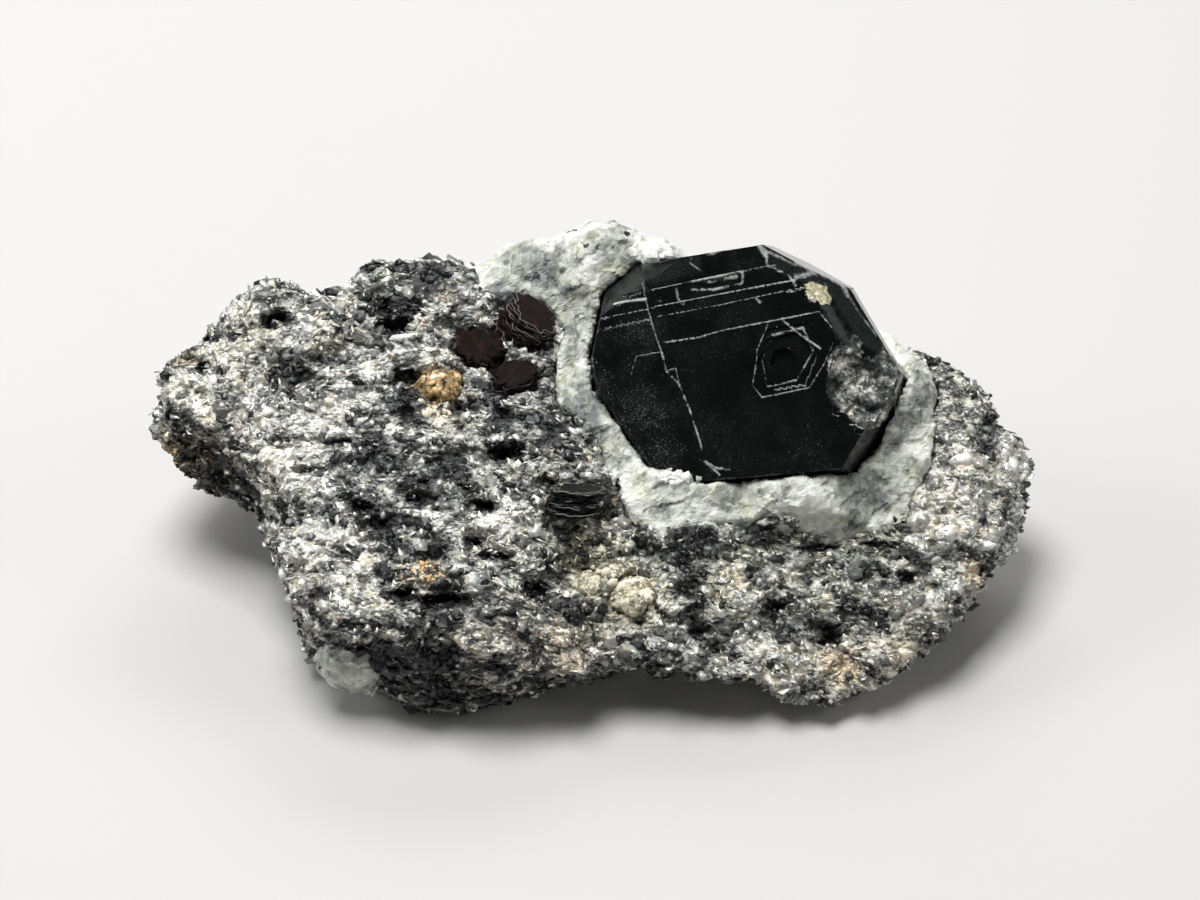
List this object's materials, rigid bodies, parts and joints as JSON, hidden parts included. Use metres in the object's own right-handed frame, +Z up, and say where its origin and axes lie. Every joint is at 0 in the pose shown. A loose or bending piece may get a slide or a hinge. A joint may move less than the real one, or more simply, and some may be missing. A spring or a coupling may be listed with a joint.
{
  "type": "sapphirine on matrix",
  "caption": "Near-black tabular sapphirine crystal in white feldspar on a flat-bottomed block of silvery mica schist, a free-standing mineral specimen.",
  "frame": {"origin": "middle of the bottom of the specimen's bounding box, on the flat foot that it rests on", "axes": "+X to the right along the longest side, +Y to the back, +Z up; the crystal faces the front"},
  "size_m": [0.0622, 0.0356, 0.0228],
  "materials": {
    "mica_schist": "rough, silvery, with glittering flakes",
    "white_feldspar": "translucent white, broken, half gloss",
    "black_sapphirine": "glossy near-black with a blue-green tint",
    "red_brown_mica": "glossy cleavage sheets",
    "black_mica": "glossy cleavage sheets",
    "amber_mineral": "translucent, granular",
    "cream_mineral": "matt, granular"
  },
  "bodies": {
    "root": {"schist_matrix": "mica_schist", "feldspar_vein": "white_feldspar", "feldspar_corner": "white_feldspar", "sapphirine_crystal": "black_sapphirine", "mica_book_upper": "red_brown_mica", "mica_book_left": "red_brown_mica", "mica_book_lower": "red_brown_mica", "black_mica_book": "black_mica", "amber_grain": "amber_mineral", "cream_grain_large": "cream_mineral", "cream_grain_small": "cream_mineral"}
  },
  "joints": []
}
